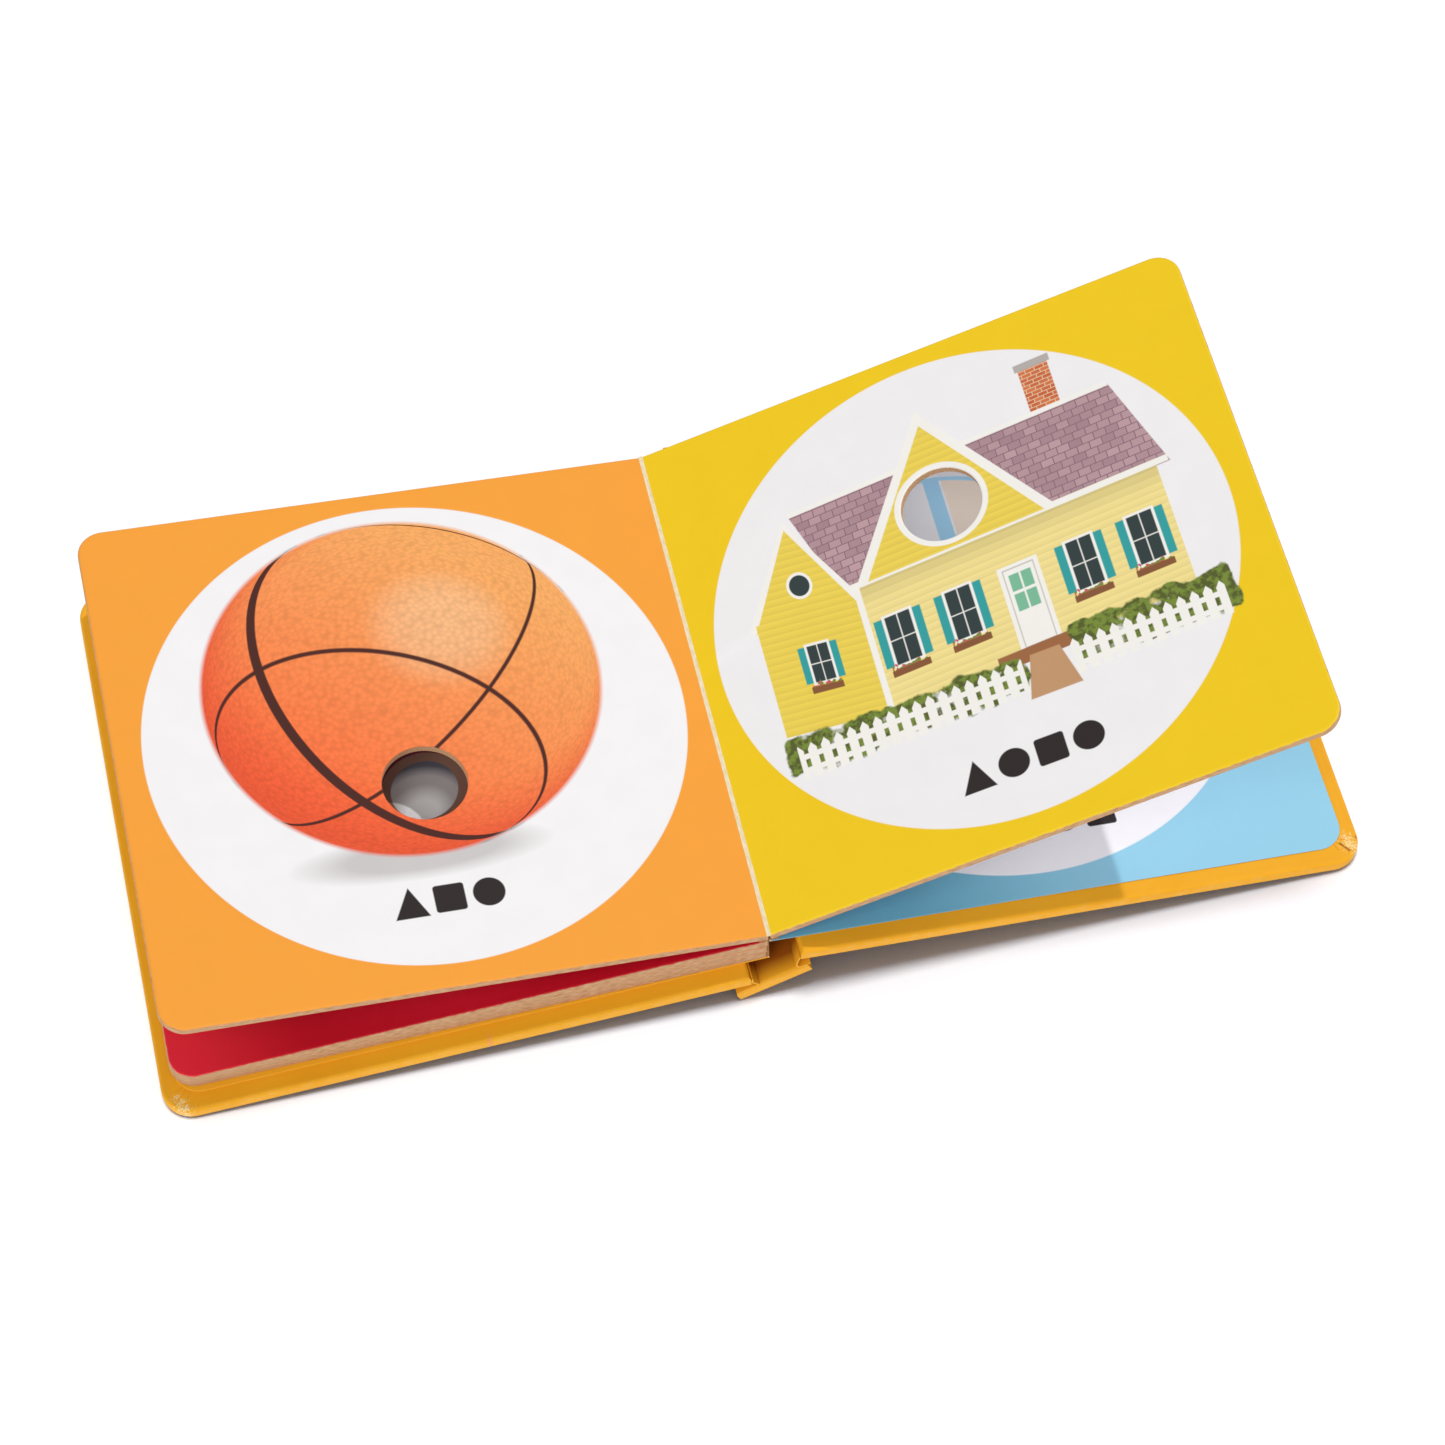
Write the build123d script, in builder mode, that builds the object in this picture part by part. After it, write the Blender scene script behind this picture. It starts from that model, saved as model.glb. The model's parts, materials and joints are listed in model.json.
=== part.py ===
from build123d import *
from math import asin, atan2, cos, degrees, hypot, radians, sin, tan
import os

# A square board book lying open like a low tent, spread upwards. Two cover boards and a spine
# board are held together by one printed wrap. Thick leaves with peep holes are glued together at
# the gutter, and the outermost page of each half is a single sheet pasted to its cover.
# Millimetres and degrees. X runs across the spread and Y along the crease, from the tail edge to
# the head edge, with Y = 0 halfway. The covers' fore edges and the lower edge of the spine strip
# stand on Z = 0.

# Pages
page_width = 153.0
page_height = 152.0
page_corner = 7.0
leaf_thickness = 2.6
paste_thickness = 0.4       # first or last page, a single sheet pasted to the cover
leaf_parting = 0.1          # air between leaves that lie closed on each other
gutter_joint = 2.5          # width of the glued strip that holds the leaves together
gutter_fold = 0.3           # extra height of a folded spread at the gutter
crease_clearance = 0.05     # each half ends this far from the crease line
closed_leaf_turns = (-0.6, -0.3, 0.0)  # skew of the leaves that lie closed on the front half, from below
front_leaf_angle = 6.0      # angle of the lifted leaf of the front half above the table
back_leaf_angle = 17.1      # the same on the back half

# Peep holes, measured on their leaf from the crease and from halfway up the page
hole_diameter = 22.0
front_hole_reach = 76.4
front_hole_rise = -16.0
back_hole_reach = 74.1
back_hole_rise = 26.8

# Covers
board_thickness = 3.3
wrap_thickness = 0.3
head_square = 4.7           # cover beyond the page at head and tail
fore_square = 4.0           # cover beyond the page at the fore edge
back_shift = 0.8            # the back cover and the page pasted to it sit out this much further
cover_corner = 8.0
edge_round = 1.0
turn_in = 15.0              # wrap folded over the inner face along the three outer edges
hinge_lap = 6.0             # wrap over the inner face along the groove
mitre_turn = 45.0           # the turned-in flaps meet along this angle at each fore corner
pleat_turns = (20.0, 70.0)  # gathers of the wrap on each side of that seam
pleat_width = 0.25
pleat_depth = 0.12
pleat_reach = 4.5

# Spine strip and its place under the covers
front_edge = 6.0            # from the crease to the edge of the front cover board
back_edge = 7.3             # the same on the back half, with its shift
spine_reach = 8.5           # from the crease to the lower edge of the spine strip
spine_tilt = 23.0
spine_gap = 1.6             # height between the spine strip and the front cover at the groove

# Groove papers: the wrap and its lining, folded between each cover and the spine strip
groove_paper = 0.4
groove_clearance = 0.1      # over the spine strip
front_clearance = 0.2       # beside the edge of the front cover, which the front paper is glued to
back_clearance = 0.3        # beside the edge of the back cover, which only guides the back paper
front_drop = 1.3            # the front paper hangs straight to this height above the cover's foot
front_fold_step = 1.8       # from there it folds this far towards the crease
front_lap = 1.0             # and back under the cover, this far past the strip's lower edge
front_bend = 0.35
back_rise = 0.8             # the back paper starts this far above the back cover's foot
back_drop = 1.0             # it hangs this far below that foot
back_slant = 0.6
back_fold_step = 0.6
back_bend = 1.2

# Sizes, heights and slopes that follow from those above
page_half = page_height / 2
cover_half = page_half + head_square
cover_thickness = board_thickness + 2 * wrap_thickness
cover_reach = page_width + fore_square
wrap_round = edge_round - wrap_thickness
closed_leaves = len(closed_leaf_turns)
front_block = paste_thickness + (closed_leaves + 1) * (leaf_thickness + leaf_parting) + gutter_fold
back_block = paste_thickness + leaf_thickness + gutter_fold - leaf_parting
closed_block = (closed_leaves + 2) * leaf_thickness + 2 * paste_thickness
spine_width = closed_block + 2 * board_thickness
spine_slope = tan(radians(spine_tilt))
spine_rise = cover_thickness / cos(radians(spine_tilt))
front_side = -1
back_side = 1
spine_edges = {front_side: front_edge, back_side: back_edge}
cover_reaches = {front_side: cover_reach, back_side: cover_reach + back_shift}
paste_reaches = {front_side: page_width, back_side: page_width + back_shift}


def spine_top(x):
    """height of the inner face of the spine strip at x"""
    return (x + spine_reach) * spine_slope + spine_rise


crease_height = spine_top(-front_edge) + spine_gap + cover_thickness + front_block
front_inner = crease_height - front_block
back_inner = crease_height - back_block
front_foot = front_inner - cover_thickness
back_foot = back_inner - cover_thickness


def cover_slope(side, inner_height):
    """slope of a cover that has this inner height at the gutter and its fore edge on the table"""
    diagonal = hypot(cover_thickness, cover_reaches[side])
    return degrees(asin(inner_height / diagonal) - atan2(cover_thickness, cover_reaches[side]))


def sloped_plane(height, angle, x=0.0):
    """plane along Y through this height at x that rises towards +X by this angle"""
    a = radians(angle)
    return Plane(origin=(x, 0, height), x_dir=(cos(a), 0, sin(a)), z_dir=(-sin(a), 0, cos(a)))


front_slope = cover_slope(front_side, front_inner)
back_slope = cover_slope(back_side, back_inner)
front_plane = sloped_plane(front_inner, front_slope)
back_plane = sloped_plane(back_inner, -back_slope)
front_leaf_plane = sloped_plane(crease_height, -front_leaf_angle)
back_leaf_plane = sloped_plane(crease_height, back_leaf_angle)
spine_plane = sloped_plane(0.0, spine_tilt, -spine_reach)


def oblong(side, near, far, half):
    """a plain rectangle in the open sketch, from near to far beside the crease"""
    with Locations((side * (near + far) / 2, 0)):
        Rectangle(far - near, 2 * half)


def sheet(side, near, far, half, corner):
    """the same with its two fore corners rounded"""
    oblong(side, near, far, half)
    fore_corners = vertices().group_by(Axis.X)[-1 if side == back_side else 0]
    fillet(fore_corners, corner)


def cover_window(side):
    """the part of a cover's inner face that the turned-in wrap leaves open"""
    oblong(side, spine_edges[side] + hinge_lap, cover_reaches[side] - turn_in, cover_half - turn_in)


def flat_edges(plate_edges, plane):
    """edges of a plate that lie in its upper or lower face"""
    groups = plate_edges.group_by(Axis(plane.origin, plane.z_dir))
    return groups[0] + groups[-1]


# Cover boards: greyboard, inside the wrap on all sides
def cover_board(side, plane):
    with BuildPart() as board:
        with BuildSketch(plane.offset(-wrap_thickness)):
            sheet(side, spine_edges[side] + wrap_thickness, cover_reaches[side] - wrap_thickness,
                  cover_half - wrap_thickness, cover_corner - wrap_thickness)
        extrude(amount=-board_thickness)
        fillet(flat_edges(board.edges(), plane), wrap_round)
    return board


# Cover wraps: printed paper turned in over the board, mitred and pleated at the fore corners
def cover_wrap(side, plane, board):
    with BuildPart() as wrap:
        with BuildSketch(plane):
            sheet(side, spine_edges[side], cover_reaches[side], cover_half, cover_corner)
        extrude(amount=-cover_thickness)
        fillet(flat_edges(wrap.edges(), plane), edge_round)
        add(board.part, mode=Mode.SUBTRACT)
        with BuildSketch(plane):
            cover_window(side)
        extrude(amount=-wrap_thickness, mode=Mode.SUBTRACT)
        with BuildSketch(plane):
            for end in (-1, 1):
                fore = side * (cover_reaches[side] - cover_corner)
                corner_centre = (fore, end * (cover_half - cover_corner))
                seams = [(mitre_turn, turn_in)] + [(turn, pleat_reach) for turn in pleat_turns]
                for turn, length in seams:
                    angle = turn * end if side == back_side else 180 - turn * end
                    with Locations(Location(corner_centre, angle)):
                        Rectangle(2 * length, pleat_width)
        extrude(amount=-pleat_depth, mode=Mode.SUBTRACT)
    return wrap


front_board = cover_board(front_side, front_plane)
back_board = cover_board(back_side, back_plane)
front_wrap = cover_wrap(front_side, front_plane, front_board)
back_wrap = cover_wrap(back_side, back_plane, back_board)

# Spine strip: board and wrap, standing on its lower long edge and leaning with the open covers
with BuildPart() as spine_board:
    with BuildSketch(spine_plane.offset(wrap_thickness)):
        oblong(back_side, wrap_thickness, spine_width - wrap_thickness, cover_half - wrap_thickness)
    extrude(amount=board_thickness)
    fillet(flat_edges(spine_board.edges(), spine_plane), wrap_round)

with BuildPart() as spine_wrap:
    with BuildSketch(spine_plane):
        oblong(back_side, 0, spine_width, cover_half)
    extrude(amount=cover_thickness)
    fillet(flat_edges(spine_wrap.edges(), spine_plane), edge_round)
    add(spine_board.part, mode=Mode.SUBTRACT)


# Page blocks: the pasted page, the leaves that lie closed and the lifted leaf with its peep hole,
# all glued together at the gutter and parted from the other half at the crease
def page_block(side, plane, leaf_plane, leaf_turns, height, hole_reach, hole_rise):
    with BuildPart() as pages:
        with BuildSketch(plane):
            oblong(side, -gutter_joint, gutter_joint, page_half)
        extrude(amount=height + leaf_thickness)
        split(bisect_by=leaf_plane, keep=Keep.BOTTOM)
        with BuildSketch(plane.offset(-wrap_thickness)):
            cover_window(side)
        extrude(amount=wrap_thickness)
        with BuildSketch(plane):
            sheet(side, -gutter_joint, paste_reaches[side], page_half, page_corner)
        extrude(amount=paste_thickness)
        for leaf, turn in enumerate(leaf_turns):
            base = paste_thickness + leaf_parting + leaf * (leaf_thickness + leaf_parting)
            with BuildSketch(plane.offset(base).rotated((0, 0, turn))):
                sheet(side, -gutter_joint, page_width, page_half, page_corner)
            extrude(amount=leaf_thickness)
        with BuildSketch(leaf_plane):
            sheet(side, -gutter_joint, page_width, page_half, page_corner)
        extrude(amount=-leaf_thickness)
        with BuildSketch(leaf_plane):
            with Locations((side * hole_reach, hole_rise)):
                Circle(hole_diameter / 2)
        extrude(amount=-leaf_thickness, mode=Mode.SUBTRACT)
        crease = Plane.YZ.offset(side * crease_clearance)
        split(bisect_by=crease, keep=Keep.TOP if side == back_side else Keep.BOTTOM)
    return pages


left_pages = page_block(front_side, front_plane, front_leaf_plane, closed_leaf_turns, front_block,
                        front_hole_reach, front_hole_rise)
right_pages = page_block(back_side, back_plane, back_leaf_plane, (), back_block,
                         back_hole_reach, back_hole_rise)


# Groove papers
def over_spine(x):
    """the point at x where the middle of a groove paper lies over the spine strip"""
    return x, spine_top(x) + groove_clearance + groove_paper / 2 / cos(radians(spine_tilt))


def groove_strip(points, bend):
    """a strip of paper folded along the points, as long as the cover"""
    with BuildPart() as strip:
        with BuildSketch(Plane.XZ.offset(-cover_half)):
            with BuildLine():
                FilletPolyline(*points, radius=bend)
                offset(amount=groove_paper / 2, side=Side.BOTH)
            make_face()
        extrude(amount=2 * cover_half)
    return strip


front_hang = front_edge - groove_paper / 2 - front_clearance
back_hang = back_edge - groove_paper / 2 - back_clearance
spine_far = spine_width * cos(radians(spine_tilt)) - spine_reach - spine_rise * spine_slope / 2
front_groove = groove_strip(
    [
        (-front_hang, front_inner - edge_round),
        (-front_hang, front_foot + front_drop),
        over_spine(-front_hang + front_fold_step),
        over_spine(-spine_reach - front_lap),
    ],
    front_bend,
)
back_groove = groove_strip(
    [
        (back_hang, back_foot + back_rise),
        (back_hang - back_slant, back_foot - back_drop),
        over_spine(back_hang - back_slant - back_fold_step),
        over_spine(spine_far),
    ],
    back_bend,
)

# One file for each piece
os.makedirs("parts", exist_ok=True)
pieces = {
    "front_board": front_board,
    "front_wrap": front_wrap,
    "left_pages": left_pages,
    "back_board": back_board,
    "back_wrap": back_wrap,
    "right_pages": right_pages,
    "spine_board": spine_board,
    "spine_wrap": spine_wrap,
    "front_groove": front_groove,
    "back_groove": back_groove,
}
for label, piece in pieces.items():
    piece.part.label = label
    export_step(piece.part, f"parts/{label}.step")

print("crease height", round(crease_height, 3))
print("cover slopes", round(front_slope, 3), round(back_slope, 3))
print("spine width", round(spine_width, 3))
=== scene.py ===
# An open board book: leaves of printed board, a pasted page in each cover, the fold at the crease,
# golden cover paper, and the light on them. Lengths are millimetres unless a note says otherwise. A page
# place is (reach from the crease, height above the tail edge).
import json
from math import cos, hypot, pi, radians, sin

import bmesh
import bpy
import numpy as np
from mathutils import Euler, Matrix, Vector


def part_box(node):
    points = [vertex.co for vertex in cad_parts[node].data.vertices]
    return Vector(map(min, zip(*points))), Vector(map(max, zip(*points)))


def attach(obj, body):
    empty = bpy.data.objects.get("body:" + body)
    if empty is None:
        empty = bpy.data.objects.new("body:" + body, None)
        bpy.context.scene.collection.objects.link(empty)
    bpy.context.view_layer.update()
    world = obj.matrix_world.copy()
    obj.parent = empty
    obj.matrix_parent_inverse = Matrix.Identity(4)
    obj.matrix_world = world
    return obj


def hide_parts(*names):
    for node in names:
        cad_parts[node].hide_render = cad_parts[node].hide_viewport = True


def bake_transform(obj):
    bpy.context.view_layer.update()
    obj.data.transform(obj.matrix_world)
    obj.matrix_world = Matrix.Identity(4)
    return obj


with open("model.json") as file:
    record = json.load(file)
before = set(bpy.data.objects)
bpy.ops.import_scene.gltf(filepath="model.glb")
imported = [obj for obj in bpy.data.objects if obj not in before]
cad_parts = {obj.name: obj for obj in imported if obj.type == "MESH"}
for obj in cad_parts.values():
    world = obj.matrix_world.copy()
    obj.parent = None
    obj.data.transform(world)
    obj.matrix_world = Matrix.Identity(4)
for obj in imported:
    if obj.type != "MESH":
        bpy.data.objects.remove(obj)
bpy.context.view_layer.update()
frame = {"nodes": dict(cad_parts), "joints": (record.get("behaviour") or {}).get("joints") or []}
mm = 0.001  # metres in a millimetre
weldReach = 1e-7  # metres between points that are one point
print("frame loaded")

# Sizes of the book, as its leaves and covers have them
book = {
    "pageWidth": 153.0,
    "pageCorner": 7.0,
    "leafThickness": 2.6,
    "leafStep": 2.7,           # one leaf and the air over it
    "leafAir": 0.1,
    "pasteThickness": 0.4,
    "closedLeafTurns": (-0.6, -0.3, 0.0),
    "frontLeafAngle": 6.0,
    "backLeafAngle": 17.1,
    "frontCoverAngle": -2.52,
    "backCoverAngle": -5.533,
    "frontInnerDrop": 11.5,    # from the crease down to the cover's inner face
    "backInnerDrop": 3.2,
    "backShift": 0.8,          # how much further out the back cover and its page sit
    "creaseGap": 0.06,
    "gutterJoint": 2.5,
    "holeRadius": 11.0,
}
leftHole = (76.4, 60.0)
rightHole = (74.1, 102.8)
leftSide = -1
rightSide = 1

hinge = next(joint for joint in frame["joints"] if joint["name"] == "cover_hinge")
creaseHeight = hinge["pos_m"][2] / mm
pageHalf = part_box("right_pages")[1].y / mm
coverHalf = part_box("back_wrap")[1].y / mm


# A plane through the crease line: along runs away from the crease, normal points out of the page
def slopedPlane(side, height, angle):
    turn = radians(angle)
    return {
        "origin": np.array([0.0, 0.0, height]),
        "along": np.array([side * cos(turn), 0.0, sin(turn)]),
        "normal": np.array([-side * sin(turn), 0.0, cos(turn)]),
    }


leftLeaf = slopedPlane(leftSide, creaseHeight, book["frontLeafAngle"])
rightLeaf = slopedPlane(rightSide, creaseHeight, book["backLeafAngle"])
frontInner = slopedPlane(leftSide, creaseHeight - book["frontInnerDrop"], book["frontCoverAngle"])
backInner = slopedPlane(rightSide, creaseHeight - book["backInnerDrop"], book["backCoverAngle"])


# Point = origin + reach * along + lift * normal, and its Y is given
def onPlane(plane, reach, y, lift):
    point = (plane["origin"] + np.multiply.outer(reach, plane["along"])
             + np.multiply.outer(lift, plane["normal"]))
    point[..., 1] = y
    return point


# Turns rows x columns x 3 points into quads; closed ways join the last line to the first
def gridObject(name, points, closedRows, closedColumns, layers):
    rows, columns = points.shape[:2]
    index = np.arange(rows * columns).reshape(rows, columns)
    if closedRows:
        index = np.vstack([index, index[:1]])
    if closedColumns:
        index = np.hstack([index, index[:, :1]])
    quads = np.stack([index[:-1, :-1], index[:-1, 1:], index[1:, 1:], index[1:, :-1]], -1)
    mesh = bpy.data.meshes.new(name)
    mesh.from_pydata((points.reshape(-1, 3) * mm).tolist(), [], quads.reshape(-1, 4).tolist())
    corner = np.empty(len(mesh.loops), np.int32)
    mesh.loops.foreach_get("vertex_index", corner)
    for layerName, places in layers.items():
        layer = mesh.uv_layers.new(name=layerName)
        layer.data.foreach_set("uv", places.reshape(-1, 2)[corner].ravel())
    shell = bmesh.new()
    shell.from_mesh(mesh)
    bmesh.ops.remove_doubles(shell, verts=shell.verts, dist=weldReach)
    bmesh.ops.recalc_face_normals(shell, faces=shell.faces)
    shell.to_mesh(mesh)
    shell.free()
    piece = bpy.data.objects.new(name, mesh)
    bpy.context.scene.collection.objects.link(piece)
    return piece


# sRGB hex to the linear colour that a shader takes
def ink(hexCode):
    values = np.array([int(hexCode[i:i + 2], 16) for i in (1, 3, 5)]) / 255
    linear = np.where(values <= 0.04045, values / 12.92, ((values + 0.055) / 1.055) ** 2.4)
    return (*linear.tolist(), 1.0)


def addNode(tree, kind, inputs, out=0, **settings):
    node = tree.nodes.new("ShaderNode" + kind)
    for name, value in settings.items():
        setattr(node, name, value)
    for key, value in inputs.items():
        if isinstance(value, bpy.types.NodeSocket):
            tree.links.new(value, node.inputs[key])
        else:
            node.inputs[key].default_value = value
    return node.outputs[out] if node.outputs else node


def newMaterial(name):
    material = bpy.data.materials.new(name)
    material.use_nodes = True
    material.node_tree.nodes.clear()
    return material, material.node_tree


# A value's share of the way between two ends, clamped, or the levels that go with them
def betweenEnds(tree, value, ends, levels=(0.0, 1.0), **settings):
    return addNode(tree, "MapRange", {0: value, 1: ends[0], 2: ends[1], 3: levels[0], 4: levels[1]},
                   **settings)


# Arithmetic on numbers and on vectors
def maths(tree, operation, *values, **settings):
    return addNode(tree, "Math", dict(enumerate(values)), operation=operation, **settings)


def vectorMaths(tree, operation, *values):
    out = "Value" if operation in ("DOT_PRODUCT", "LENGTH") else 0
    return addNode(tree, "VectorMath", dict(enumerate(values)), out, operation=operation)


# The surface itself, with its relief in millimetres
def finished(material, colour, relief, height, roughness, specular):
    tree = material.node_tree
    bump = addNode(tree, "Bump", {"Height": relief, "Strength": 1.0, "Distance": height * mm})
    shader = addNode(tree, "BsdfPrincipled", {"Base Color": colour, "Normal": bump, "Roughness": roughness,
                                              "Specular IOR Level": specular})
    addNode(tree, "OutputMaterial", {0: shader})
    return material


# Place on the object in millimetres
def objectPlace(tree):
    spot = addNode(tree, "TexCoord", {}, "Object")
    return addNode(tree, "Mapping", {0: spot, "Scale": (1 / mm, 1 / mm, 1 / mm)})


# Under where the share is 0, over where it is 1
def blend(tree, share, under, over):
    return addNode(tree, "Mix", {0: share, 6: under, 7: over}, out=2, data_type="RGBA")


printEdge = 0.3  # width of the soft edge of most printed shapes
offPage = 900.0  # further than any drawing reaches


# 1 where far is less than reach and 0 beyond it, with an edge as wide as blur
def within(tree, far, reach=0.0, blur=printEdge):
    return maths(tree, "MULTIPLY_ADD", far, -1 / blur, 0.5 + reach / blur, use_clamp=True)


def printShape(tree, under, over, far, reach=0.0, blur=printEdge):
    return blend(tree, within(tree, far, reach, blur), under, over)


# Furthest that a place lies outside the edges of a convex outline, whose corners run anticlockwise
def outlineFar(tree, place, corners):
    far = None
    for (x0, y0), (x1, y1) in zip(corners, corners[1:] + corners[:1]):
        length = hypot(x1 - x0, y1 - y0)
        nx, ny = (y1 - y0) / length, (x0 - x1) / length
        edge = vectorMaths(tree, "DOT_PRODUCT", place, (nx, ny, -nx * x0 - ny * y0))
        far = edge if far is None else maths(tree, "MAXIMUM", far, edge)
    return far


# Distance from a box with these opposite corners, less half an edge's blur so that its inside is solid
def boxFar(tree, place, low, high):
    centre = ((low[0] + high[0]) / 2, (low[1] + high[1]) / 2, 1)
    half = ((high[0] - low[0]) / 2, (high[1] - low[1]) / 2, 0)
    away = vectorMaths(tree, "SUBTRACT", place, centre)
    away = vectorMaths(tree, "ABSOLUTE", away)
    away = vectorMaths(tree, "SUBTRACT", away, half)
    away = vectorMaths(tree, "MAXIMUM", away, (0, 0, 0))
    away = vectorMaths(tree, "LENGTH", away)
    return maths(tree, "SUBTRACT", away, printEdge / 2)


def printBox(tree, under, over, place, box):
    return printShape(tree, under, over, boxFar(tree, place, *box))


# Distance from a centre, with each way scaled first
def discFar(tree, place, centre, scale=(1, 1)):
    away = vectorMaths(tree, "SUBTRACT", place, (*centre, 1))
    away = vectorMaths(tree, "MULTIPLY", away, (*scale, 0))
    return vectorMaths(tree, "LENGTH", away)


# Place on a wall drawn aslant: across and up are the page steps for one millimetre of the wall
def slantPlace(tree, place, origin, across, up):
    size = across[0] * up[1] - across[1] * up[0]
    ways = {"X": (up[1] / size, -up[0] / size), "Y": (-across[1] / size, across[0] / size)}
    parts = {axis: vectorMaths(tree, "DOT_PRODUCT", place, (p, q, -p * origin[0] - q * origin[1]))
             for axis, (p, q) in ways.items()}
    return addNode(tree, "CombineXYZ", {**parts, "Z": 1.0})


# Repeats a drawing across at this step, with its own middle at 0
def repeatAcross(tree, place, step):
    half = (step / 2, offPage, offPage)
    return vectorMaths(tree, "WRAP", place, half, [-size for size in half])


# The same drawing on both sides of a middle line
def mirrorAcross(tree, place, middle):
    away = vectorMaths(tree, "SUBTRACT", place, (middle, 0, 0))
    return vectorMaths(tree, "ABSOLUTE", away)


# A colour, or any other vector, times a number
def shade(tree, colour, level):
    return addNode(tree, "VectorMath", {0: colour, "Scale": level}, operation="SCALE")


# Noise with patches of this size, from 0 to 1 around 0.5
def noiseAt(tree, place, size, detail=2.0, stretch=(1, 1, 1)):
    spot = addNode(tree, "Mapping", {0: place, "Scale": stretch})
    return addNode(tree, "TexNoise", {"Vector": spot, "Scale": 1 / size, "Detail": detail})


# The white circle of every page
pageCircle = {"centre": (75.6, 76.6), "radius": 70.1, "white": "#f7f5f6", "edge": 0.35}


# Page place in millimetres, with 1 in its third number for the outlines
def pagePlace(tree):
    spot = addNode(tree, "UVMap", {}, uv_map="page")
    return addNode(tree, "Mapping", {0: spot, "Location": (0, 0, 1),
                                     "Scale": (book["pageWidth"], 2 * pageHalf, 1)})


def circleOnPage(tree, place, pageInk, lift=0.0):
    x, y = pageCircle["centre"]
    far = discFar(tree, place, (x, y + lift))
    return printShape(tree, pageInk, ink(pageCircle["white"]), far, pageCircle["radius"],
                      pageCircle["edge"])


# Caption marks: plain dark shapes in a row, each about as heavy as a letter
caption = {"ink": "#2c2526", "half": 4.1, "step": 10.0, "edge": 0.3, "squareRound": 1.0, "squareReach": 0.7,
           "triangleReach": 0.2}


def captionMarks(tree, place, colour, centre, marks):
    half, step, edge = caption["half"], caption["step"], caption["edge"]
    dark = ink(caption["ink"])
    y = centre[1]
    for number, mark in enumerate(marks):
        x = centre[0] + (number - (len(marks) - 1) / 2) * step
        if mark == "disc":
            far, reach = discFar(tree, place, (x, y)), half
        elif mark == "square":
            core, reach = half - caption["squareRound"], caption["squareReach"]
            far = boxFar(tree, place, (x - core, y - core), (x + core, y + core))
        else:
            corners = [(x - half, y - half), (x + half, y - half), (x, y + half)]
            far, reach = outlineFar(tree, place, corners), caption["triangleReach"]
        colour = printShape(tree, colour, dark, far, reach, edge)
    return colour


# A play ball seen from the front: on the disc, the surface's own direction is (x, y, root(1 - x² - y²)),
# so seams are where one turned part of that direction is near a fixed value
ball = {
    "pageInk": "#f9a43e", "centre": (76.8, 90.4), "radius": 51.8, "edge": 1.3, "turn": (28, 38, -24),
    "seamInk": "#4a2620", "bandWidth": 3.4, "seamWidth": 1.2, "sideSeam": 0.56, "seamEdge": 0.45,
    "deepInk": "#ff683c", "lightInk": "#fdb066", "warmWay": (-0.55, 0.65, 0.0), "warmEnds": (-0.75, 0.7),
    "shadeInk": "#ee5c38", "shadeEnds": (-0.1, 0.5),
    "glowInk": "#fcd2a2", "glowAt": (-0.27, 0.33), "glowEnds": (0.90, 1.0), "glowShare": 0.5,
    "pebble": 1.5, "pebbleShare": 0.16, "pebbleReach": 0.9,
    "floorInk": "#cfcaca", "floorAt": (81.0, 39.0), "floorFlat": 4.6, "floorReach": 27.0, "floorBlur": 15.0,
    "captionAt": (76.5, 25.3),
}


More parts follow.
